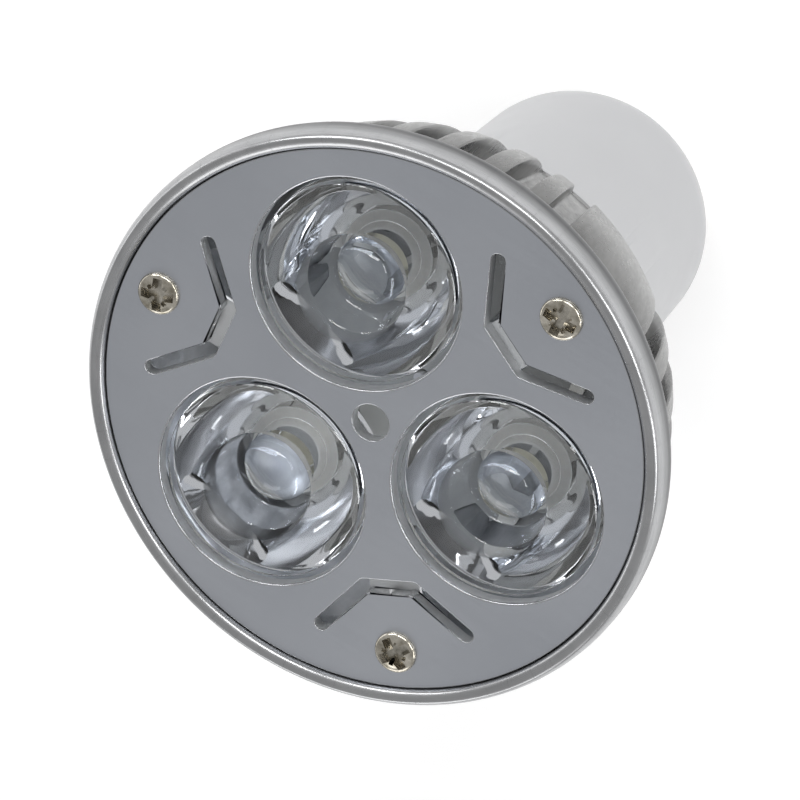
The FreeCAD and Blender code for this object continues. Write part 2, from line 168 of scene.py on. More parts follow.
def object_of(name, verts, faces, slots=(), marks=None, sharp=32):
    """An object from millimetre points. marks gives each face's material number."""
    mesh = bpy.data.meshes.new(name)
    mesh.from_pydata([tuple(c * MM for c in v) for v in verts], [], faces)
    for slot in slots:
        mesh.materials.append(slot)
    if marks:
        mesh.polygons.foreach_set("material_index", marks)
    bm = bmesh.new()
    bm.from_mesh(mesh)
    bmesh.ops.remove_doubles(bm, verts=bm.verts, dist=1e-8)
    bmesh.ops.recalc_face_normals(bm, faces=bm.faces)
    bm.to_mesh(mesh)
    bm.free()
    mesh.shade_smooth()
    mesh.set_sharp_from_angle(angle=math.radians(sharp))
    thing = bpy.data.objects.new(name, mesh)
    bpy.context.scene.collection.objects.link(thing)
    return thing


def skin(rings, closed=False):
    """Points and faces through rings of equal count; a ring of one point is a pole."""
    verts, faces, index = [], [], []
    for ring in rings:
        index.append(range(len(verts), len(verts) + len(ring)))
        verts += ring
    pairs = list(zip(index, index[1:]))
    if closed:
        pairs.append((index[-1], index[0]))
    for low, high in pairs:
        count = max(len(low), len(high))
        for k in range(count):
            j = (k + 1) % count
            if len(low) == 1:
                faces.append((low[0], high[j], high[k]))
            elif len(high) == 1:
                faces.append((low[k], low[j], high[0]))
            else:
                faces.append((low[k], low[j], high[j], high[k]))
    return verts, faces


def turned(name, profile, material, count=192, x=0.0, y=0.0, sharp=32):
    """A body of revolution about an upright axis at x, y."""
    verts, faces = skin([circle(p[0], p[1], count, x, y) for p in profile])
    return object_of(name, verts, faces, [material], sharp=sharp)


def shaped(thing, sharp=32):
    """Applies the modifiers of a piece and takes its shape as its own mesh."""
    bpy.context.view_layer.update()
    evaluated = thing.evaluated_get(bpy.context.evaluated_depsgraph_get())
    mesh = bpy.data.meshes.new_from_object(evaluated)
    thing.modifiers.clear()
    thing.data = mesh
    mesh.shade_smooth()
    mesh.set_sharp_from_angle(angle=math.radians(sharp))
    return thing


def cut(thing, cutters, sharp=32):
    """Takes the cutters out of a piece and removes them."""
    for cutter in cutters:
        modifier = thing.modifiers.new("cut", "BOOLEAN")
        modifier.operation = "DIFFERENCE"
        modifier.solver = "EXACT"
        modifier.object = cutter
    shaped(thing, sharp)
    for cutter in cutters:
        bpy.data.objects.remove(cutter)
    return thing


def even(thing):
    """Keeps large flat faces flat under smooth shading."""
    modifier = thing.modifiers.new("even", "WEIGHTED_NORMAL")
    modifier.keep_sharp = True
    modifier.weight = 100
    return thing


def keep(thing, slot, *replaced):
    """Ties a finished piece to the part and hides the solids it stands for. The slot argument is not used.
    """
    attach(thing, "root")
    if replaced:
        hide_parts(*replaced)
    return thing


# Materials

class Paint:
    """A material with its Principled shader and short calls for the nodes before it."""

    def __init__(self, name, **inputs):
        self.material = bpy.data.materials.new(name)
        self.material.use_nodes = True
        self.tree = self.material.node_tree
        self.shader = self.tree.nodes["Principled BSDF"]
        self.place = self.node("ShaderNodeTexCoord").outputs["Object"]
        for key, value in inputs.items():
            self.shader.inputs[key.replace("_", " ")].default_value = value

    def node(self, kind, **settings):
        made = self.tree.nodes.new(kind)
        for key, value in settings.items():
            setattr(made, key, value)
        return made

    def link(self, source, target):
        self.tree.links.new(source, target)

    def scaled(self, size):
        """Object coordinates with a grain of size, in millimetres, along x, y and z."""
        mapping = self.node("ShaderNodeMapping")
        mapping.inputs["Scale"].default_value = [1 / (s * MM) for s in size]
        self.link(self.place, mapping.inputs["Vector"])
        return mapping.outputs["Vector"]

    def noise(self, size, detail=3.0, rough=0.55):
        made = self.node("ShaderNodeTexNoise")
        made.inputs["Scale"].default_value = 1.0
        made.inputs["Detail"].default_value = detail
        made.inputs["Roughness"].default_value = rough
        self.link(self.scaled(size), made.inputs["Vector"])
        return made.outputs["Fac"]

    def spread(self, value, low, high, start=0.3, end=0.7):
        """Carries a value's run from start to end over to low to high."""
        made = self.node("ShaderNodeMapRange")
        for key, number in (("From Min", start), ("From Max", end), ("To Min", low), ("To Max", high)):
            made.inputs[key].default_value = number
        self.link(value, made.inputs["Value"])
        return made.outputs["Result"]

    def blend(self, value, first, second):
        """A blend of two fixed colours."""
        made = self.node("ShaderNodeMix", data_type="RGBA")
        made.inputs["A"].default_value = (*first, 1)
        made.inputs["B"].default_value = (*second, 1)
        self.link(value, made.inputs["Factor"])
        return made.outputs["Result"]

    def between(self, value, first, second):
        """A blend of two colours that come from nodes."""
        made = self.node("ShaderNodeMix", data_type="RGBA")
        self.link(value, made.inputs["Factor"])
        self.link(first, made.inputs["A"])
        self.link(second, made.inputs["B"])
        return made.outputs["Result"]

    def height(self, low, high):
        """From 0 at the low height to 1 at the high one, in millimetres."""
        split = self.node("ShaderNodeSeparateXYZ")
        self.link(self.place, split.inputs[0])
        return self.spread(split.outputs["Z"], 0.0, 1.0, low * MM, high * MM)

    def sum(self, first, second, operation="ADD"):
        made = self.node("ShaderNodeMath", operation=operation)
        self.link(first, made.inputs[0])
        self.link(second, made.inputs[1])
        return made.outputs[0]

    def colour(self, value):
        self.link(value, self.shader.inputs["Base Color"])

    def rough(self, value):
        self.link(value, self.shader.inputs["Roughness"])

    def let_light_in(self, share):
        """Clear pieces pass most of the light straight on, so that what lies behind them is lit."""
        path = self.node("ShaderNodeLightPath")
        either = self.sum(path.outputs["Is Shadow Ray"], path.outputs["Is Diffuse Ray"], "MAXIMUM")
        self.link(self.spread(either, 1.0, 1.0 - share, 0.0, 1.0), self.shader.inputs["Alpha"])

    def bump(self, value, height, before=None):
        """Bump of a height in millimetres."""
        made = self.node("ShaderNodeBump")
        made.inputs["Distance"].default_value = height * MM
        made.inputs["Strength"].default_value = 1.0
        self.link(value, made.inputs["Height"])
        if before:
            self.link(before, made.inputs["Normal"])
        self.link(made.outputs["Normal"], self.shader.inputs["Normal"])
        return made.outputs["Normal"]


def cast_metal():
    """Painted shade: darker under the bead and brighter towards the collar."""
    paint = Paint("cast_aluminium", Metallic=1.0)
    cloud = paint.noise((3.0, 3.0, 9.0), 4, 0.6)
    streak = paint.noise((0.35, 0.35, 6.0), 3, 0.5)
    grain = paint.noise((0.16, 0.16, 0.16), 2, 0.6)
    # Painted shade: the colour darkens from the collar up to under the bead.
    height = paint.height(COLLAR, FIN_TOP - 2)
    bright = paint.blend(paint.spread(cloud, 0, 1), (0.30, 0.30, 0.298), (0.44, 0.44, 0.437))
    painted_shade = paint.blend(paint.spread(cloud, 0, 1), (0.10, 0.10, 0.098), (0.20, 0.20, 0.197))
    paint.colour(paint.between(height, bright, painted_shade))
    paint.rough(paint.sum(paint.spread(streak, 0.0, 0.10), paint.spread(cloud, 0.20, 0.32)))
    soft = paint.bump(streak, 0.012)
    paint.bump(grain, 0.004, soft)
    return paint.material


def groove_metal():
    """The rough floors of the grooves, with painted shade along their height like the fins."""
    paint = Paint("cast_groove_floor", Metallic=1.0)
    pits = paint.noise((0.30, 0.30, 0.45), 4, 0.65)
    cloud = paint.noise((1.6, 1.6, 3.0), 3, 0.6)
    # Painted shade: the colour darkens from the collar up to under the bead.
    height = paint.height(COLLAR, FIN_TOP - 2)
    bright = paint.blend(paint.spread(cloud, 0, 1), (0.26, 0.26, 0.26), (0.42, 0.42, 0.417))
    painted_shade = paint.blend(paint.spread(cloud, 0, 1), (0.09, 0.09, 0.09), (0.19, 0.19, 0.188))
    paint.colour(paint.between(height, bright, painted_shade))
    paint.rough(paint.spread(pits, 0.28, 0.46))
    soft = paint.bump(pits, 0.045)
    paint.bump(cloud, 0.08, soft)
    return paint.material


def bare_metal():
    """The casting inside the cup."""
    paint = Paint("bare_casting", Metallic=1.0)
    cloud = paint.noise((2.0, 2.0, 2.0), 3, 0.6)
    paint.colour(paint.blend(paint.spread(cloud, 0, 1), (0.40, 0.41, 0.425), (0.54, 0.55, 0.565)))
    paint.rough(paint.spread(cloud, 0.32, 0.46))
    paint.bump(cloud, 0.03)
    return paint.material


def rim_metal():
    """Painted shade darkens the bead's flank; polished and lighter towards its crest."""
    paint = Paint("turned_rim", Metallic=1.0)
    cloud = paint.noise((4.0, 4.0, 0.5), 3, 0.6)
    lines = paint.noise((6.0, 6.0, 0.06), 2, 0.5)
    # Painted shade: the flank is far darker than the crest, standing in for a dark reflection.
    height = paint.height(CREST - 2.1, CREST - 0.75)
    painted_shade = paint.blend(paint.spread(cloud, 0, 1), (0.09, 0.092, 0.095), (0.13, 0.132, 0.135))
    polished = paint.blend(paint.spread(cloud, 0, 1), (0.38, 0.384, 0.392), (0.46, 0.464, 0.472))
    paint.colour(paint.between(height, painted_shade, polished))
    paint.rough(paint.sum(paint.spread(lines, 0.24, 0.33), paint.spread(height, 0.06, 0.0, 0.0, 1.0)))
    paint.bump(lines, 0.003)
    return paint.material


def plate_metal():
    """Fine brushed satin, cool in colour."""
    paint = Paint("satin_plate", Metallic=1.0)
    brush = paint.noise((9.0, 0.10, 1.0), 3, 0.6)
    cloud = paint.noise((14.0, 14.0, 14.0), 2, 0.5)
    speck = paint.noise((0.22, 0.22, 0.22), 2, 0.5)
    paint.colour(paint.blend(paint.spread(cloud, 0, 1), (0.45, 0.47, 0.51), (0.50, 0.52, 0.56)))
    paint.rough(paint.sum(paint.spread(brush, 0.30, 0.37), paint.spread(speck, 0.0, 0.05)))
    soft = paint.bump(brush, 0.0035)
    paint.bump(speck, 0.002, soft)
    return paint.material


def edge_metal():
    """The bright chamfers round the plate's holes."""
    paint = Paint("cut_edge", Metallic=1.0)
    speck = paint.noise((0.5, 0.5, 0.5), 2, 0.5)
    paint.colour(paint.blend(speck, (0.44, 0.45, 0.47), (0.54, 0.55, 0.57)))
    paint.rough(paint.spread(speck, 0.16, 0.26))
    paint.bump(speck, 0.003)
    return paint.material


def wall_metal():
    """The walls that a punch leaves in the plate's holes, lighter than the plate as painted light in the
    slots.
    """
    paint = Paint("punched_wall_painted_light", Metallic=1.0)
    lines = paint.noise((0.15, 0.15, 1.2), 3, 0.5)
    # Painted light: the walls are lighter than the plate they are cut from.
    paint.colour(paint.blend(lines, (0.60, 0.61, 0.62), (0.74, 0.75, 0.76)))
    paint.rough(paint.spread(lines, 0.50, 0.62))
    paint.bump(lines, 0.008)
    return paint.material


def clear_acrylic():
    paint = Paint("clear_lens", Transmission_Weight=1.0, IOR=1.49)
    haze = paint.noise((0.8, 0.8, 0.8), 3, 0.6)
    paint.colour(paint.blend(haze, (0.90, 0.935, 0.99), (0.95, 0.97, 1.0)))
    paint.rough(paint.spread(haze, 0.0, 0.03))
    paint.bump(paint.noise((1.6, 1.6, 1.6), 1, 0.4), 0.004)
    paint.let_light_in(0.85)
    return paint.material


def silicone():
    paint = Paint("led_dome", Transmission_Weight=1.0, IOR=1.41)
    haze = paint.noise((0.6, 0.6, 0.6), 2, 0.5)
    paint.colour(paint.blend(haze, (0.96, 0.95, 0.90), (1.0, 0.99, 0.96)))
    paint.rough(paint.spread(haze, 0.0, 0.04))
    paint.let_light_in(0.9)
    return paint.material


def phosphor():
    paint = Paint("phosphor", Roughness=0.55)
    speck = paint.noise((0.12, 0.12, 0.12), 2, 0.6)
    paint.colour(paint.blend(speck, (0.50, 0.48, 0.36), (0.60, 0.58, 0.46)))
    paint.bump(speck, 0.01)
    return paint.material


def emitter_housing():
    """A pale moulding on tinned leads: the leads are the part that lies low on the board."""
    paint = Paint("led_housing", Roughness=0.42)
    speck = paint.noise((0.5, 0.5, 0.5), 3, 0.6)
    lead_top = BOARD_TOP + 0.45
    height = paint.height(lead_top, lead_top + 0.05)
    lead = paint.blend(speck, (0.22, 0.22, 0.22), (0.30, 0.30, 0.30))
    moulding = paint.blend(speck, (0.68, 0.68, 0.65), (0.78, 0.78, 0.75))
    paint.colour(paint.between(height, lead, moulding))
    paint.link(paint.spread(height, 1.0, 0.0, 0.0, 1.0), paint.shader.inputs["Metallic"])
    paint.bump(speck, 0.004)
    return paint.material


def plated(name, dark, light, low, high, grain=0.35):
    """A plated metal from its two colours and its lowest and highest roughness."""
    paint = Paint(name, Metallic=1.0)
    cloud = paint.noise((grain * 3, grain * 3, grain * 3), 3, 0.6)
    scuff = paint.noise((grain, grain, grain * 0.4), 3, 0.6)
    paint.colour(paint.blend(paint.spread(cloud, 0, 1), dark, light))
    paint.rough(paint.spread(scuff, low, high))
    paint.bump(scuff, 0.006)
    return paint.material


def moulded(name, dark, light, low, high, grain=0.3, height=0.004):
    """A plastic or painted skin from its two colours and its lowest and highest roughness."""
    paint = Paint(name)
    cloud = paint.noise((grain * 12, grain * 12, grain * 12), 3, 0.5)
    fine = paint.noise((grain, grain, grain), 3, 0.6)
    paint.colour(paint.blend(paint.spread(cloud, 0, 1), dark, light))
    paint.rough(paint.spread(fine, low, high))
    if height:
        paint.bump(fine, height)
    return paint.material


cast = cast_metal()
groove_floor = groove_metal()
bare = bare_metal()
rim = rim_metal()
satin = plate_metal()
bright_edge = edge_metal()
punched_painted_light = wall_metal()
clear = clear_acrylic()
screw_metal = plated("nickel_screw", (0.30, 0.275, 0.22), (0.72, 0.68, 0.60), 0.12, 0.28)
# The recess colour is darker than the head's: grime and painted shade.
recess_grime_and_shade = plated("screw_recess_grime_and_shade", (0.24, 0.225, 0.19), (0.66, 0.625, 0.555), 0.20, 0.32)
zinc = plated("zinc_screw", (0.60, 0.61, 0.63), (0.74, 0.75, 0.77), 0.25, 0.40)
pin_metal = plated("nickel_pin", (0.54, 0.50, 0.45), (0.72, 0.68, 0.62), 0.14, 0.28)
mirror = plated("emitter_cup", (0.74, 0.74, 0.73), (0.84, 0.84, 0.83), 0.08, 0.16)
tinned = plated("tinned_pin", (0.70, 0.70, 0.71), (0.80, 0.80, 0.81), 0.25, 0.4)
white = moulded("white_base", (0.475, 0.479, 0.49), (0.505, 0.509, 0.52), 0.30, 0.36, 2.5, 0)
led_white = emitter_housing()
board_white = moulded("led_board", (0.30, 0.31, 0.31), (0.36, 0.37, 0.37), 0.35, 0.5)
green = moulded("circuit_board", (0.03, 0.16, 0.07), (0.05, 0.22, 0.10), 0.25, 0.4)
ferrite = moulded("ferrite", (0.03, 0.03, 0.033), (0.06, 0.06, 0.065), 0.45, 0.65, 0.15)
sleeve = moulded("capacitor_can", (0.02, 0.022, 0.05), (0.03, 0.033, 0.07), 0.2, 0.35, 0.4)
black = moulded("black_package", (0.012, 0.012, 0.012), (0.022, 0.022, 0.022), 0.4, 0.6, 0.15)
chip_yellow = phosphor()
dome_clear = silicone()


# Heatsink

FOOT_R, FIN_TOP_R = 15.45, 23.1
CUP_BOW = 1.6
FIN_FOOT = COLLAR + 0.15
GROOVE_STEP = 10.9
GROOVES = [a - 4 * GROOVE_STEP + GROOVE_STEP * n for a in LENSES for n in range(9)]
GROOVE_HALF, GROOVE_FLARE = 1.075, 0.12
GROOVE_FOOT = COLLAR + 0.8
GROOVE_SLOPE = (FIN_TOP_R - 1.2 - FOOT_R) / (FIN_TOP - GROOVE_FOOT)
FIN_EDGE, GROOVE_CORNER = 0.22, 0.35

# Rows of points up the cup, close together above the collar, and points across a panel or fin.
# A span between two grooves that is wider than PANEL_SPAN, in radians, is a panel. The last pair counts the
# faces on one side of a groove and on its floor.
CLOSE_STEP, CLOSE_ROWS, ROW_STEP = 0.16, 12, 0.48
PANEL_POINTS, FIN_POINTS = 13, 3
PANEL_SPAN = 0.3
FLANK_FACES, FLOOR_FACES = 7, 11

# The bead's section and the cup's inside
BEAD_NECK_R, BEAD_FOOT_R, BEAD_FOOT_RISE = 22.3, 23.2, 0.45
BEAD_WIDE_RISE, BEAD_BOW = 2.25, 0.63
CREST_R, CREST_OUTER_DROP = 24.35, 1.4
CREST_INNER_R, CREST_INNER_DROP = 23.55, 0.52
PLATE_BORE_R, BARE_R = 23.50, 23.05
MOUTH_R, LEDGE_R, LEDGE_Z, WEB_R = 22.30, 20.70, 54.40, 16.70
WIRE_HOLE_R, SOCKET_R = 2.2, 12.85
CAST, GROOVE_FLOOR, RIM, BARE = range(4)


def cup_radius(z):
    """Outer radius of the cup between collar and fin tops: a circular arc that bows out."""
    x0, z0, x1, z1 = FOOT_R, FIN_FOOT, FIN_TOP_R, FIN_TOP
    chord = math.hypot(x1 - x0, z1 - z0)
    r = (chord ** 2 / 4 + CUP_BOW ** 2) / (2 * CUP_BOW)
    nx, nz = (z1 - z0) / chord, -(x1 - x0) / chord
    cx = (x0 + x1) / 2 + nx * (CUP_BOW - r)
    cz = (z0 + z1) / 2 + nz * (CUP_BOW - r)
    return cx + math.sqrt(max(0.0, r ** 2 - (z - cz) ** 2))


def groove_half(r):
    return GROOVE_HALF + GROOVE_FLARE * (r - FOOT_R) / (RIM_R + 2 - FOOT_R)


def groove_side(z, outer):
    """Half of a groove's section as (sideways, outward) points, from the fin's edge to mid floor."""
    floor = FOOT_R + GROOVE_SLOPE * (z - GROOVE_FOOT)
    deep = max(0.0, outer - floor)
    edge = min(FIN_EDGE, 0.30 * deep)
    corner = min(GROOVE_CORNER, 0.30 * deep)
    top_half, low_half = groove_half(outer) + edge, groove_half(floor)
    side = []
    for k in range(5):
        t = k / 4 * math.pi / 2
        side.append((top_half - edge * math.sin(t), -edge * (1 - math.cos(t))))
    for k in (1, 2):
        t = k / 3
        y = top_half - edge + (low_half - top_half + edge) * t
        side.append((y, -edge - (deep - edge - corner) * t))
    for k in range(4):
        t = k / 3 * math.pi / 2
        side.append((low_half - corner * (1 - math.cos(t)), -(deep - corner) - corner * math.sin(t)))
    for k in (1, 2):
        side.append(((low_half - corner) * (1 - k / 2.5), -deep))
    return side


def cup_ring(z, outer):
    """One level of the finned cup: fins and panels on the circle, with the grooves between them."""
    side = groove_side(z, outer)
    section = [(-y, drop) for y, drop in side] + list(reversed(side))
    half = math.asin(min(1.0, side[0][0] / outer))
    points = []
    for n, degrees in enumerate(GROOVES):
        a = math.radians(degrees)
        for y, drop in section:
            reach = math.sqrt(max(0.0, outer ** 2 - y ** 2))
            x = reach if drop > -1e-9 else min(reach, outer + drop)
            points.append(swung(x, y, z, a))
        last = n == len(GROOVES) - 1
        after = math.radians(GROOVES[(n + 1) % len(GROOVES)]) + (TURN if last else 0)
        start, end = a + half, after - half
        extra = PANEL_POINTS if end - start > PANEL_SPAN else FIN_POINTS
        for k in range(1, extra + 1):
            t = start + (end - start) * k / (extra + 1)
            points.append(Vector((outer * math.cos(t), outer * math.sin(t), z)))
    return points


def cup_section():
    """From the fin tops round the bead, over its crest and down the inside to the collar."""
    bead_foot = (BEAD_FOOT_R, FIN_TOP + BEAD_FOOT_RISE)
    bead_wide = (RIM_R, FIN_TOP + BEAD_WIDE_RISE)
    points = [(BEAD_NECK_R, FIN_TOP, 0.08), (BEAD_NECK_R, bead_foot[1], 0.12), (*bead_foot, 0.1)]
    points += arc(bead_foot, bead_wide, BEAD_BOW, 10)[1:]
    for k in range(11):
        t = k / 10 * math.pi / 2
        r = CREST_R + (RIM_R - CREST_R) * math.cos(t)
        points.append((r, CREST - CREST_OUTER_DROP * (1 - math.sin(t)), 0))
    for k in range(1, 8):
        t = k / 8 * math.pi / 2
        r = CREST_R - (CREST_R - CREST_INNER_R) * math.sin(t)
        points.append((r, CREST - CREST_INNER_DROP * (1 - math.cos(t)), 0))
    points += [(PLATE_BORE_R, PLATE_FACE - 0.02, 0.03), (PLATE_BORE_R, PLATE_SEAT, 0)]
    points += [(MOUTH_R, PLATE_SEAT, 0.1), (MOUTH_R, LEDGE_Z, 0.2), (LEDGE_R, LEDGE_Z, 0.2)]
    points += [(WEB_R, WEB_TOP, 0.4), (WIRE_HOLE_R, WEB_TOP, 0.1), (WIRE_HOLE_R, WEB_UNDER, 0.1)]
    points += [(SOCKET_R, WEB_UNDER, 0.2), (SOCKET_R, COLLAR, 0.05), (FOOT_R - 0.15, COLLAR, 0.05)]
    return soften([(FIN_TOP_R - 0.1, FIN_TOP)] + points, 0.1, 2)[1:]


def cup_marks(outside, section, columns):
    """The material number of each face: fins and grooves, then the bead, then the bare inside."""
    grooves = []
    for n, degrees in enumerate(GROOVES):
        panel = (GROOVES[(n + 1) % len(GROOVES)] - degrees) % 360 > GROOVE_STEP + 1
        grooves += [CAST] * FLANK_FACES + [GROOVE_FLOOR] * FLOOR_FACES + [CAST] * FLANK_FACES
        grooves += [CAST] * ((PANEL_POINTS if panel else FIN_POINTS) + 1)
    marks = grooves * outside + [RIM] * columns
    crest_at = max(range(len(section)), key=lambda n: section[n][1])
    for n, (r, z) in enumerate(section):
        if r > BARE_R:
            mark = RIM
        else:
            inside = n > crest_at and r < MOUTH_R + 0.3 and z > WEB_TOP - 0.1
            mark = BARE if inside else CAST
        marks += [mark] * columns
    return marks


def heatsink():
    levels = [FIN_FOOT + CLOSE_STEP * k for k in range(CLOSE_ROWS)]
    while levels[-1] < FIN_TOP - 0.5:
        levels.append(levels[-1] + ROW_STEP)
    levels.append(FIN_TOP - 0.12)
    outside = [cup_ring(z, cup_radius(z)) for z in levels]
    fin_ends = cup_ring(FIN_TOP, cup_radius(FIN_TOP) - 0.10)
    angles = [math.atan2(p.y, p.x) for p in fin_ends]
    section = cup_section()
    inside = [[Vector((r * math.cos(a), r * math.sin(a), z)) for a in angles] for r, z in section]
    verts, faces = skin(outside + [fin_ends] + inside, closed=True)
    marks = cup_marks(len(outside), section, len(angles))
    made = object_of("finned_cup", verts, faces, [cast, groove_floor, rim, bare], marks, sharp=40)
    return keep(made, "cast_aluminium", "heatsink")


heatsink()


# The bosses inside the cup that take the plate's screws

BOSS_INNER_R, BOSS_HALF = PLATE_R - 10.0, 2.3
BOSS_OUTER_R = 22.8
BOSS_INTO_WALL, BOSS_EDGE = 0.8, 0.12
BOSS_LEVELS = (WEB_TOP - 0.2, 46.0, 49.0, 52.0, LEDGE_Z - 0.1, PLATE_SEAT - BOSS_EDGE, PLATE_SEAT)


def boss_ring(z, a):
    """One level of a boss: it reaches a little into the cup's wall."""
    cone = WEB_R + (LEDGE_R - WEB_R) * (z - WEB_TOP) / (LEDGE_Z - WEB_TOP) + BOSS_INTO_WALL
    outer = min(BOSS_OUTER_R, cone) if z < LEDGE_Z else BOSS_OUTER_R
    shrink = BOSS_EDGE if z == PLATE_SEAT else 0.0
    inner, half = BOSS_INNER_R + shrink, BOSS_HALF - shrink
    return [swung(x, y, z, a) for x, y in ((outer, -half), (outer, half), (inner, half), (inner, -half))]


def screw_bosses():
    verts, faces = [], []
    for degrees in PANELS:
        rings = [boss_ring(z, math.radians(degrees)) for z in BOSS_LEVELS]
        v, f = skin(rings)
        base = len(verts)
        corners = len(rings[0])
        verts += v
        faces += [tuple(i + base for i in face) for face in f]
        faces.append(tuple(base + k for k in range(corners)))
        faces.append(tuple(base + len(v) - corners + k for k in range(corners)))
    made = object_of("screw_bosses", verts, faces, [bare, punched_painted_light], sharp=35)
    # The boss tops take the lighter wall colour as painted light, where they lie in the plate's shadow.
    for face in made.data.polygons:
        face.material_index = 1 if face.normal.z > 0.9 else 0
    return keep(made, "cast_aluminium")


screw_bosses()


# Front plate

SLOT_HALF = 0.625
SLOT_END_R, SLOT_END_HALF = PLATE_R - 5.2, 6.4
SLOT_BRIDGE_R, SLOT_BRIDGE_HALF = PLATE_R - 8.9, 2.15
CENTRE_HOLE_R, SCREW_HOLE_R = 1.6, 1.45

# Turns, in radians, at which the rounded edge of an outline has a row of points
EDGE_TURNS = (0.52, 1.05)
SATIN, EDGE, WALL = range(3)


def slot_outline(grow, steps=10):
    """The bent slot's outline in its own frame, grown by grow, from end to end and back."""
    half = SLOT_HALF + grow
    path = [
        Vector((SLOT_END_R, SLOT_END_HALF)),
        Vector((SLOT_BRIDGE_R, SLOT_BRIDGE_HALF)),
        Vector((SLOT_BRIDGE_R, -SLOT_BRIDGE_HALF)),
        Vector((SLOT_END_R, -SLOT_END_HALF)),
    ]

    def beside(side):
        """The slot's wall on one side of its path, with its two bends rounded."""
        out = []
        for n, p in enumerate(path):
            into = (p - path[n - 1]) if n else (path[1] - path[0])
            on = (path[n + 1] - p) if n < 3 else into
            a = Vector((-into.y, into.x)).normalized() * side
            b = Vector((-on.y, on.x)).normalized() * side
            mitre = (a + b).normalized()
            reach = half / mitre.dot(a)
            if n in (0, 3):
                out.append(p + mitre * reach)
                continue
            for k in (-1, 0, 1):
                way = (a * (1 - k) + b * (1 + k)).normalized()
                out.append(p + way * (half + (reach - half) * (0.55 if k else 0.85)))
        return out

    def cap(centre, start):
        """The round end from its start over half a turn."""
        first = math.atan2(*(start - centre).yx)
        turns = [first - math.pi * k / steps for k in range(1, steps)]
        return [centre + Vector((math.cos(a), math.sin(a))) * half for a in turns]

    left, right = beside(1), beside(-1)
    return left + cap(path[3], left[-1]) + right[::-1] + cap(path[0], right[0])


def flat_circle(r, count, x=0.0, y=0.0):
    return [p.xy for p in circle(r, 0, count, x, y)]


def plate_loops():
    """Each outline of the plate as a function of its growth, with the width of its rounded edge."""
    loops = [(lambda g: flat_circle(PLATE_R - g, 288), 0.10)]
    for degrees in LENSES:
        x, y = at(LENS_RING, degrees)
        loops.append((lambda g, x=x, y=y: flat_circle(LENS_HOLE_R + g, 192, x, y), 0.15))
    loops.append((lambda g: flat_circle(CENTRE_HOLE_R + g, 64), 0.08))
    for degrees in PANELS:
        x, y = at(SCREW_RING, degrees)
        loops.append((lambda g, x=x, y=y: flat_circle(SCREW_HOLE_R + g, 48, x, y), 0.05))
        turn = Matrix.Rotation(math.radians(degrees), 2)
        loops.append((lambda g, turn=turn: [turn @ p for p in slot_outline(g)], 0.07))
    return loops


def front_plate():
    """Walls and edges along every outline, then one flat face above and one below."""
    bm = bmesh.new()
    tops, unders = [], []
    for outline, edge in plate_loops():
        steps = [(0.05, PLATE_SEAT), (0.0, PLATE_SEAT + 0.05), (0.0, PLATE_FACE - edge)]
        for t in EDGE_TURNS:
            steps.append((edge * (1 - math.cos(t)), PLATE_FACE - edge * (1 - math.sin(t))))
        steps.append((edge, PLATE_FACE))
        rows = []
        for grow, z in steps:
            rows.append([bm.verts.new((p.x * MM, p.y * MM, z * MM)) for p in outline(grow)])
        count = len(rows[0])
        for number, (low, high) in enumerate(zip(rows, rows[1:])):
            for k in range(count):
                j = (k + 1) % count
                face = bm.faces.new((low[k], low[j], high[j], high[k]))
                # The walls take the lighter wall colour, painted light in the holes.
                face.material_index = WALL if number < 2 else EDGE
                face.smooth = True
        for row, edges in ((rows[-1], tops), (rows[0], unders)):
            edges += [bm.edges.get((row[k], row[(k + 1) % count])) for k in range(count)]
    for edges in (tops, unders):
        for piece in bmesh.ops.triangle_fill(bm, edges=edges, use_beauty=True)["geom"]:
            if isinstance(piece, bmesh.types.BMFace):
                piece.material_index = SATIN
                piece.smooth = False
    bmesh.ops.recalc_face_normals(bm, faces=bm.faces)
    mesh = bpy.data.meshes.new("front_disc")
    bm.to_mesh(mesh)
    bm.free()
    for material in (satin, bright_edge, punched_painted_light):
        mesh.materials.append(material)
    made = bpy.data.objects.new("front_disc", mesh)
    bpy.context.scene.collection.objects.link(made)
    return keep(made, "satin_aluminium", "front_plate")


front_plate()


# Lenses and emitters

CAVITY_R, CAVITY_DEPTH, CAVITY_CROWN = 3.1, 3.6, 0.5
LENS_FOOT_R, LENS_BOW = 3.9, 0.5
FLANGE_UNDER = PLATE_SEAT - 1.2
WELL_MOUTH_R, WELL_FOOT_R, WELL_FOOT = 4.2, 3.7, LENS_FRONT - 3.0
EYE_R, EYE_HEIGHT = 2.95, 2.2
DOME_R = 2.7

# The emitter's reflector ring and its chip, with heights above the emitter's top
RING_FOOT_R, RING_OUTER_R, RING_INNER_R, RING_FLOOR_R = 2.30, 1.98, 1.80, 1.22
RING_HEIGHT, RING_FLOOR = 0.80, 0.10
CHIP_R, CHIP_FOOT, CHIP_SIDE, CHIP_TOP = 1.15, 0.06, 0.30, 0.36


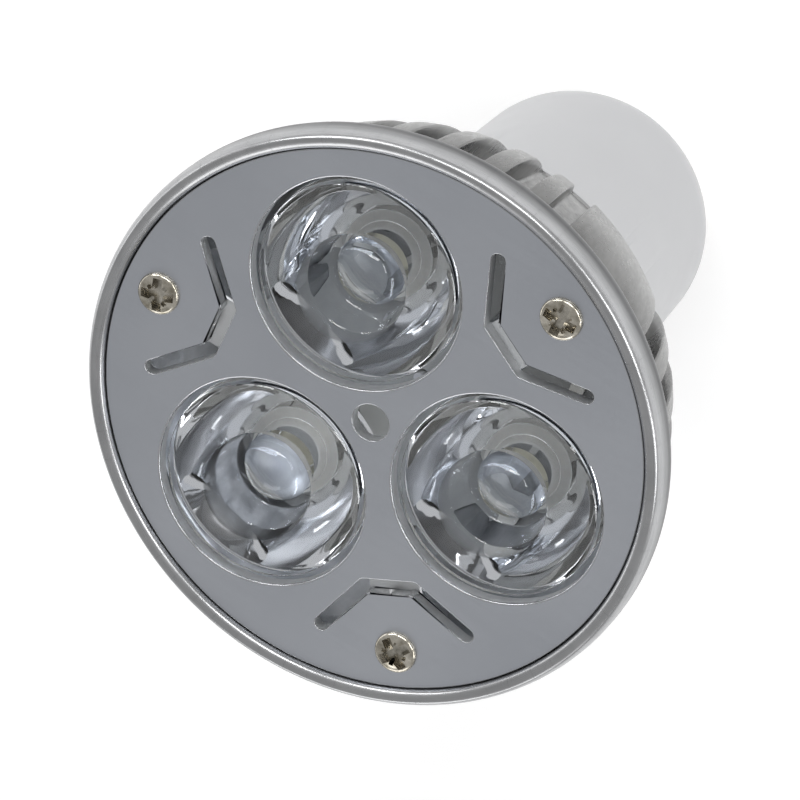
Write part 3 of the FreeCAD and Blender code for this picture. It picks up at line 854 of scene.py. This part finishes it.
def lens_profile():
    """From the cavity's roof out along the wall and flange to the front, and in to the middle lens."""
    roof = crown(CAVITY_R, LED_TOP + CAVITY_DEPTH, -CAVITY_CROWN)
    points = list(reversed(roof))
    points += [(CAVITY_R, LED_TOP, 0.05), (LENS_FOOT_R, LED_TOP, 0.05)]
    points += arc((LENS_FOOT_R, LED_TOP), (LENS_FRONT_R, FLANGE_UNDER), LENS_BOW, 18)[1:-1]
    points += [(LENS_FRONT_R, FLANGE_UNDER, 0.08), (FLANGE_R, FLANGE_UNDER, 0.1)]
    points += [(FLANGE_R, PLATE_SEAT, 0.08), (LENS_FRONT_R, PLATE_SEAT, 0.06)]
    points += [(LENS_FRONT_R, LENS_FRONT, 0.25), (WELL_MOUTH_R, LENS_FRONT, 0.14)]
    points += [(WELL_FOOT_R, WELL_FOOT, 0.2), (EYE_R + 0.03, WELL_FOOT, 0.03)]
    points += crown(EYE_R, WELL_FOOT, EYE_HEIGHT, 20)
    return soften(points, 0.05, 3)


def dome_profile():
    turns = [k / 16 * math.pi / 2 for k in range(16)]
    side = [(DOME_R * math.cos(t), LED_TOP + DOME_R * math.sin(t)) for t in turns]
    return [(0, LED_TOP + 0.02)] + side + [(0, LED_TOP + DOME_R)]


def reflector_profile():
    """The bright ring that stands round the emitter's middle, under the dome."""
    rises = [(0, 0.02), (RING_FOOT_R, 0.02), (RING_FOOT_R - 0.10, 0.30, 0.1)]
    rises += [(RING_OUTER_R, RING_HEIGHT, 0.08), (RING_INNER_R, RING_HEIGHT, 0.08)]
    rises += [(RING_FLOOR_R, RING_FLOOR, 0.1), (0, RING_FLOOR - 0.04)]
    return soften([(p[0], LED_TOP + p[1], *p[2:]) for p in rises], 0.02, 4)


def phosphor_profile():
    points = [(0, LED_TOP + CHIP_FOOT), (CHIP_R, LED_TOP + CHIP_FOOT)]
    points += [(CHIP_R - 0.05, LED_TOP + CHIP_SIDE, 0.1), (0, LED_TOP + CHIP_TOP)]
    return soften(points, 0.08, 3)


def lens_and_emitter(number, degrees):
    x, y = at(LENS_RING, degrees)
    lens = turned("collimator_" + number, lens_profile(), clear, 160, x, y, sharp=28)
    keep(lens, "clear_lens", "lens_" + number)
    dome = turned("emitter_dome_" + number, dome_profile(), dome_clear, 96, x, y, sharp=50)
    keep(dome, "led_dome", "led_dome_" + number)
    reflector = turned("emitter_cup_" + number, reflector_profile(), mirror, 96, x, y, sharp=60)
    keep(reflector, "led_housing")
    chip = turned("phosphor_" + number, phosphor_profile(), chip_yellow, 48, x, y)
    keep(chip, "led_dome")


for n, degrees in enumerate(LENSES):
    lens_and_emitter(str(n + 1), degrees)


# Plate screws

SCREW_FOOT, SHANK_R = least("plate_screw_1"), 1.2
CROWN_R, SIDE_HEIGHT, SIDE_RISE = 1.35, 0.10, 0.32
CROWN_EDGE = PLATE_FACE + SIDE_HEIGHT + SIDE_RISE
CROWN_BOW = 0.05
CROSS = {"length": 2.9, "width": 0.82, "depth": 0.9}
STAR = {"length": 2.3, "width": 0.40, "depth": 0.5}

# The turn of the first screw's recess, in degrees, and how much further each next one is turned
FIRST_TURN, NEXT_TURN = 20, 35


def head_top(r):
    """Height of the screw head's surface at a distance from its axis."""
    if r > CROWN_R:
        across = (r - CROWN_R) / (HEAD_R - CROWN_R)
        return PLATE_FACE + SIDE_HEIGHT + SIDE_RISE * math.sqrt(max(0.0, 1 - across ** 2))
    t = 1 - r / CROWN_R
    return CROWN_EDGE + (CREST - CROWN_EDGE) * t + 4 * CROWN_BOW * t * (1 - t)


def head_profile():
    points = [(0, SCREW_FOOT), (SHANK_R, SCREW_FOOT), (SHANK_R, PLATE_FACE, 0), (HEAD_R, PLATE_FACE, 0.04)]
    for k in range(9):
        t = k / 8 * math.pi / 2
        r = CROWN_R + (HEAD_R - CROWN_R) * math.cos(t)
        points.append((r, PLATE_FACE + SIDE_HEIGHT + SIDE_RISE * math.sin(t), 0))
    points += arc((CROWN_R, CROWN_EDGE), (0, CREST), CROWN_BOW, 8)[1:]
    return soften(points, 0.06, 3)


def cross_cutter(name, size, degrees, place):
    """Two crossed bars of a recess, each wider at its top than at its foot."""
    made = []
    for turn in (0, 90):
        rings = []
        for z, share in ((CREST - size["depth"], 0.72), (CREST + 0.2, 1.12)):
            half, side = size["length"] / 2 * share, size["width"] / 2 * share
            corners = ((-half, -side), (half, -side), (half, side), (-half, side))
            rings.append([swung(x, y, z, math.radians(degrees + turn), place) for x, y in corners])
        verts, faces = skin(rings)
        faces += [(3, 2, 1, 0), (4, 5, 6, 7)]
        made.append(object_of(name + str(turn), verts, faces))
    return made


def plate_screw(number, degrees, turn):
    x, y = at(SCREW_RING, degrees)
    made = turned("plate_screw_head_" + number, head_profile(), screw_metal, 72, x, y)
    cutters = cross_cutter("cross", CROSS, turn, (x, y))
    cutters += cross_cutter("star", STAR, turn + 45, (x, y))
    cut(made, cutters, 35)
    made.data.materials.append(recess_grime_and_shade)
    # Faces sunk into the recess take the darker colour: grime and painted shade.
    for face in made.data.polygons:
        r = math.hypot(face.center.x / MM - x, face.center.y / MM - y)
        if r < HEAD_R - 0.1 and CREST - 1.1 < face.center.z / MM < head_top(r) - 0.04:
            face.material_index = 1
    return keep(made, "nickel_screw", "plate_screw_" + number)


for n, degrees in enumerate(PANELS):
    plate_screw(str(n + 1), degrees, FIRST_TURN + NEXT_TURN * n)


# Base

END_R, END_BOW = 8.7, 0.55
NECK_FOOT_R, NECK_FOOT = 11.25, 11.3
NECK_TOP_R, NECK_TOP = 12.05, 30.1
SPIGOT_R, BORE_R, FLOOR = 12.7, 10.0, BASE_END + 3.1
RIBS = (45, 135, 225, 315)
RIB_RISE, RIB_HALF, RIB_SIDE = 0.40, 1.70, 0.10
RIB_FOOT, RIB_GROWTH = 20.6, 10.0
RIB_TOP, RIB_FADE, RIB_NECK_R = 31.2, 0.9, 11.7
POCKET_R, POCKET_DEPTH, PIN_HOLE_R = 2.6, 1.2, 1.58
END_SLOT_Y, END_SLOT_HALF, END_SLOT_END_R = 2.55, 0.4, 0.45
END_SLOT_DEPTH = 1.2
GATE_R, GATE_DEPTH = 0.7, 0.15
BELOW = BASE_END - 1

# Angles round the base in degrees: even steps, and close ones where the sides of the ribs are
EVEN_STEP, EVEN_COUNT, RIB_SPAN = 2.25, 16, 9.2
CLOSE_STEPS = (-0.45, -0.2, 0, 0.2, 0.5)


def base_profile():
    """From the middle of the end face out, up the neck to the collar, and down the inside."""
    points = [(0, BASE_END), (END_R, BASE_END, 0.25)]
    points += arc((END_R, BASE_END), (NECK_FOOT_R, NECK_FOOT), END_BOW, 10)[1:-1]
    points += [(NECK_FOOT_R, NECK_FOOT, 0.7)]
    for k in range(1, 16):
        t = k / 16
        r = NECK_FOOT_R + (NECK_TOP_R - NECK_FOOT_R) * t
        points.append((r, NECK_FOOT + (NECK_TOP - NECK_FOOT) * t, 0))
    points += [(NECK_TOP_R, NECK_TOP, 0.35), (BASE_R, COLLAR - 0.35, 0.12), (BASE_R, COLLAR, 0.05)]
    points += [(SPIGOT_R, COLLAR, 0.1), (SPIGOT_R, WEB_UNDER, 0.15), (BORE_R, WEB_UNDER, 0.1)]
    points += [(BORE_R, FLOOR, 0.3), (0, FLOOR)]
    return soften(points, 0.1, 4)


def base_angles():
    out = []
    for rib in RIBS:
        first, last = rib - RIB_SPAN, rib + RIB_SPAN
        out += [rib - 45 + k * EVEN_STEP for k in range(EVEN_COUNT)]
        out += [first + step for step in CLOSE_STEPS]
        across = last - first - 2 * CLOSE_STEPS[-1]
        out += [first + CLOSE_STEPS[-1] + across * k / 8 for k in range(1, 8)]
        out += [last - step for step in reversed(CLOSE_STEPS)]
        out += [rib + 45 - k * EVEN_STEP for k in range(EVEN_COUNT - 1, 0, -1)]
    return out


def rib_rise(r, z, degrees):
    """How far the low ribs along the neck stand out: they grow from below and fade out at the top."""
    if r < BORE_R + 1:
        return 0.0
    gap = min(abs(((degrees - a + 180) % 360) - 180) for a in RIBS)
    sideways = gap * math.pi / 180 * RIB_NECK_R
    across = min(1.0, max(0.0, (RIB_HALF - sideways) / RIB_SIDE + 0.5))
    along = min(1.0, max(0.0, (z - RIB_FOOT) / RIB_GROWTH))
    fade = min(1.0, max(0.0, (RIB_TOP - z) / RIB_FADE))
    return RIB_RISE * across * along * fade


def base_ring(r, z, angles):
    if r < 1e-6:
        return [Vector((0, 0, z))]
    out = []
    for degrees in angles:
        x, y = at(r + rib_rise(r, z, degrees), degrees)
        out.append(Vector((x, y, z)))
    return out


def round_cutter(name, r, low, high, count, x=0.0):
    return turned(name, [(0, low), (r, low), (r, high), (0, high)], white, count, x)


def pin_cutters(x):
    """The pocket round a pin, with a soft edge, and the hole that the pin goes through."""
    roof = BASE_END + POCKET_DEPTH
    pocket = [(0, BELOW), (POCKET_R + 0.3, BELOW), (POCKET_R + 0.08, BASE_END - 0.05)]
    pocket += [(POCKET_R, BASE_END + 0.06), (POCKET_R, roof), (0, roof)]
    hole = round_cutter("pin_hole", PIN_HOLE_R, roof - 0.3, FLOOR + 0.9, 48, x)
    return [turned("pocket", pocket, white, 72, x), hole]


def end_slot_cutter(y):
    """A short round-ended slot in the base's end, with a soft edge."""
    roof = BASE_END + END_SLOT_DEPTH
    rings = [[Vector((0, y, BELOW))]]
    for z, grow in ((BELOW, 0.12), (BASE_END - 0.02, 0.06), (BASE_END + 0.1, 0.0), (roof, -0.04)):
        r = END_SLOT_END_R + grow
        ring = []
        for k in range(24):
            a = TURN * (k + 0.5) / 24
            x = math.copysign(END_SLOT_HALF, math.cos(a)) + r * math.cos(a)
            ring.append(Vector((x, y + r * math.sin(a), z)))
        rings.append(ring)
    rings.append([Vector((0, y, roof))])
    verts, faces = skin(rings)
    return object_of("end_slot", verts, faces, [white])


def base_housing():
    angles = base_angles()
    verts, faces = skin([base_ring(r, z, angles) for r, z in base_profile()])
    made = object_of("base_shell", verts, faces, [white], sharp=30)
    cutters = pin_cutters(-PIN_X) + pin_cutters(PIN_X)
    cutters += [end_slot_cutter(-END_SLOT_Y), end_slot_cutter(END_SLOT_Y)]
    cutters.append(round_cutter("gate", GATE_R, BELOW, BASE_END + GATE_DEPTH, 32))
    cut(made, cutters, 30)
    return even(keep(made, "white_base", "base_housing"))


base_housing()


# Contact pins

PIN_HEAD_R, PIN_HEAD_TOP, PIN_SHOULDER_TOP = 2.5, 2.3, 2.6
PIN_NECK_R, PIN_BORE_R, PIN_BORE_DEPTH = 1.55, 0.40, 0.5
NECK_STEP, NECK_ROWS = 0.17, 22
DIMPLE_Z, DIMPLE_R, DIMPLE_DEPTH = 4.3, 0.95, 0.42
DIMPLE_FROM, DIMPLE_TO = 2.7, 6.3
LIP_R, LIP_WIDTH, LIP_RISE = 1.08, 0.14, 0.07


def pin_profile():
    points = [(0, PIN_BORE_DEPTH), (PIN_BORE_R - 0.04, PIN_BORE_DEPTH), (PIN_BORE_R, 0.0, 0.05)]
    points += [(PIN_HEAD_R - 0.2, 0.0, 0.05), (PIN_HEAD_R, 0.2, 0.05), (PIN_HEAD_R, PIN_HEAD_TOP, 0.06)]
    points += [(PIN_NECK_R + 0.1, PIN_SHOULDER_TOP, 0.1)]
    points += [(PIN_NECK_R, PIN_SHOULDER_TOP + 0.15 + NECK_STEP * k, 0) for k in range(NECK_ROWS)]
    points += [(PIN_NECK_R, FLOOR, 0.0), (0, FLOOR)]
    return soften(points, 0.05, 3)


def dimple(a, z):
    """How deep the dimples in the neck's two sides are: each has a lip round it."""
    if not DIMPLE_FROM < z < DIMPLE_TO:
        return 0.0
    gap = abs(math.degrees(a) % 180 - 90)
    away = math.hypot(PIN_NECK_R * math.radians(gap), z - DIMPLE_Z)
    lip = LIP_RISE * math.exp(-((away - LIP_R) / LIP_WIDTH) ** 2)
    return DIMPLE_DEPTH * max(0.0, 1 - (away / DIMPLE_R) ** 2) - lip


def contact_pin(name, x, node):
    rings = []
    for r, z in pin_profile():
        if r < 1e-6:
            rings.append([Vector((x, 0, z))])
            continue
        ring = []
        for k in range(120):
            a = TURN * k / 120
            reach = r - dimple(a, z)
            ring.append(Vector((x + reach * math.cos(a), reach * math.sin(a), z)))
        rings.append(ring)
    verts, faces = skin(rings)
    made = object_of(name, verts, faces, [pin_metal], sharp=35)
    return keep(made, "nickel_pin", node)


contact_pin("contact_pin_1", -PIN_X, "pin_1")
contact_pin("contact_pin_2", PIN_X, "pin_2")


# Solids that keep their own shape and take a material

FINISHES = (
    (led_white, ("led_1", "led_2", "led_3")),
    (board_white, ("led_board",)),
    (zinc, ("base_screw_1", "base_screw_2")),
    (green, ("driver_board",)),
    (ferrite, ("transformer",)),
    (sleeve, ("input_capacitor", "output_capacitor")),
    (black, ("bridge_rectifier", "driver_chip")),
    (tinned, ("board_pin_1", "board_pin_2")),
)
for finish, names in FINISHES:
    for name in names:
        nodes[name].data.materials.clear()
        nodes[name].data.materials.append(finish)


# Floor, light and camera

FLOOR_HALF = 6.0
PAPER_DARK, PAPER_LIGHT, PAPER_GLOW, PAPER_GRAIN = 0.89, 0.92, 0.24, 900


def paper():
    """Pale paper that takes the bulb's shadow, with a glow that only the camera, metal and lenses see."""
    material = bpy.data.materials.new("pale_floor")
    material.use_nodes = True
    tree = material.node_tree
    tree.nodes.clear()
    out = tree.nodes.new("ShaderNodeOutputMaterial")
    diffuse = tree.nodes.new("ShaderNodeBsdfDiffuse")
    grain = tree.nodes.new("ShaderNodeTexNoise")
    grain.inputs["Scale"].default_value = PAPER_GRAIN
    tint = tree.nodes.new("ShaderNodeMix")
    tint.data_type = "RGBA"
    for socket, level in (("A", PAPER_DARK), ("B", PAPER_LIGHT)):
        tint.inputs[socket].default_value = (level, level, level, 1)
    tree.links.new(grain.outputs["Fac"], tint.inputs["Factor"])
    tree.links.new(tint.outputs["Result"], diffuse.inputs["Color"])
    glow = tree.nodes.new("ShaderNodeEmission")
    glow.inputs["Strength"].default_value = PAPER_GLOW
    both = tree.nodes.new("ShaderNodeAddShader")
    tree.links.new(diffuse.outputs[0], both.inputs[0])
    tree.links.new(glow.outputs[0], both.inputs[1])
    path = tree.nodes.new("ShaderNodeLightPath")
    seen = path.outputs["Is Camera Ray"]
    for kind in ("Is Transmission Ray", "Is Glossy Ray"):
        either = tree.nodes.new("ShaderNodeMath")
        either.operation = "MAXIMUM"
        tree.links.new(seen, either.inputs[0])
        tree.links.new(path.outputs[kind], either.inputs[1])
        seen = either.outputs[0]
    mix = tree.nodes.new("ShaderNodeMixShader")
    tree.links.new(seen, mix.inputs[0])
    tree.links.new(diffuse.outputs[0], mix.inputs[1])
    tree.links.new(both.outputs[0], mix.inputs[2])
    tree.links.new(mix.outputs[0], out.inputs["Surface"])
    return material


def floor():
    bm = bmesh.new()
    bmesh.ops.create_grid(bm, x_segments=8, y_segments=8, size=FLOOR_HALF)
    mesh = bpy.data.meshes.new("floor")
    bm.to_mesh(mesh)
    bm.free()
    mesh.materials.append(paper())
    made = bpy.data.objects.new("floor", mesh)
    bpy.context.scene.collection.objects.link(made)


floor()


def world():
    """An even grey room, a little lighter below."""
    made = bpy.data.worlds.new("studio")
    made.use_nodes = True
    tree = made.node_tree
    back = tree.nodes["Background"]
    place = tree.nodes.new("ShaderNodeTexCoord")
    split = tree.nodes.new("ShaderNodeSeparateXYZ")
    tree.links.new(place.outputs["Generated"], split.inputs[0])
    band = tree.nodes.new("ShaderNodeValToRGB")
    stops = ((0.0, 0.55), (0.20, 0.52), (0.50, 0.48), (1.0, 0.48))
    while len(band.color_ramp.elements) < len(stops):
        band.color_ramp.elements.new(0.5)
    for stop, (height, level) in zip(band.color_ramp.elements, stops):
        stop.position = height
        stop.color = (level, level, level, 1)
    tree.links.new(split.outputs["Z"], band.inputs["Fac"])
    tree.links.new(band.outputs["Color"], back.inputs["Color"])
    back.inputs["Strength"].default_value = 1.0
    bpy.context.scene.world = made


world()

# The place that the lamps face, in metres
MIDDLE = Vector((0, 0, 0.035))


def softbox(name, azimuth, elevation, size, power, distance=1.05):
    """A flat lamp that faces the bulb's middle. Its size is in metres and its power in watts."""
    a, e = math.radians(azimuth), math.radians(elevation)
    way = Vector((math.cos(a) * math.cos(e), math.sin(a) * math.cos(e), math.sin(e)))
    data = bpy.data.lights.new(name, "AREA")
    data.shape = "RECTANGLE"
    data.size, data.size_y = size
    data.energy = power
    made = bpy.data.objects.new(name, data)
    made.location = MIDDLE + way * distance
    made.rotation_mode = "QUATERNION"
    made.rotation_quaternion = (-way).to_track_quat("-Z", "Y")
    made.visible_camera = False
    bpy.context.scene.collection.objects.link(made)
    return made


softbox("strip_middle", 278, 40, (0.62, 0.13), 3.0)
softbox("strip_left", 325, 28, (0.55, 0.13), 2.4)
softbox("strip_right", 222, 36, (0.55, 0.13), 2.4)
softbox("strip_low", 184, 24, (0.45, 0.13), 1.6)
softbox("below", 100, 26, (0.70, 0.40), 2.0)
softbox("card", 16, 9, (1.00, 0.25), 1.2)

# The camera stands where the photograph was taken from, at EYE, and is turned from the photograph's own
# RIGHT, DOWN and AHEAD to hold the bulb in the middle. In pixels, PHOTO is the photograph's width, FOCAL
# its focal length and BULB the place of the bulb's middle. CLOSER is how much larger the bulb is shown.
EYE = Vector((-81.731, -273.959, 487.04)) * MM
RIGHT = Vector((-0.84979, -0.39938, -0.34401))
DOWN = Vector((-0.51444, 0.77065, 0.3761))
AHEAD = Vector((0.1149, 0.49658, -0.86035))
PHOTO = 800
FOCAL = 3152.5
BULB = (225.5, 433.5)
CLOSER = 2.05
SENSOR = 36.0


def camera():
    aside, below = (BULB[0] - PHOTO / 2) / FOCAL, (BULB[1] - PHOTO / 2) / FOCAL
    ahead = (AHEAD + RIGHT * aside + DOWN * below).normalized()
    right = (RIGHT - ahead * RIGHT.dot(ahead)).normalized()
    down = ahead.cross(right)
    data = bpy.data.cameras.new("camera")
    data.sensor_width = SENSOR
    data.lens = SENSOR * FOCAL / PHOTO * CLOSER
    data.clip_start, data.clip_end = 0.01, 50
    made = bpy.data.objects.new("camera", data)
    turn = Matrix((right, -down, -ahead)).transposed().to_4x4()
    made.matrix_world = Matrix.Translation(EYE) @ turn
    bpy.context.scene.collection.objects.link(made)
    bpy.context.scene.camera = made
    bpy.context.scene.view_settings.view_transform = "Standard"


camera()
